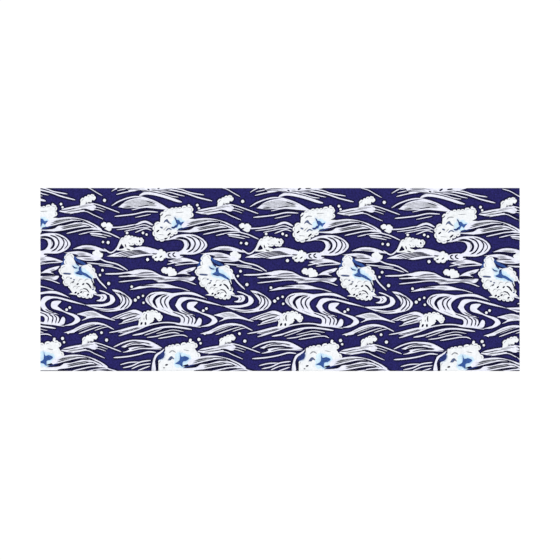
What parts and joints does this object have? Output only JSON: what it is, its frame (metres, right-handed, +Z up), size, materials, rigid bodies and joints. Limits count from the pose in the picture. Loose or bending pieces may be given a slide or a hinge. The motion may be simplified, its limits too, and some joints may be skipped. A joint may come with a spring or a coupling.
{
  "type": "tenugui towel",
  "caption": "Flat length of plain-weave cotton, dyed through with rough sea waves, foam crests and whirls, lying open with woven selvedges and cut ends.",
  "frame": {"origin": "middle of the flat underside, on the surface that the towel lies on", "axes": "+X along the length, from the picture's left end to its right end; +Y across the width, towards the picture's top edge; +Z up, out of the face"},
  "size_m": [0.9, 0.343, 0.0012],
  "materials": {
    "dyed_cotton": "matte plain-weave cotton, indigo ground with undyed white waves and a few mid-blue shadows"
  },
  "bodies": {
    "root": {"towel": "dyed_cotton"}
  },
  "joints": []
}
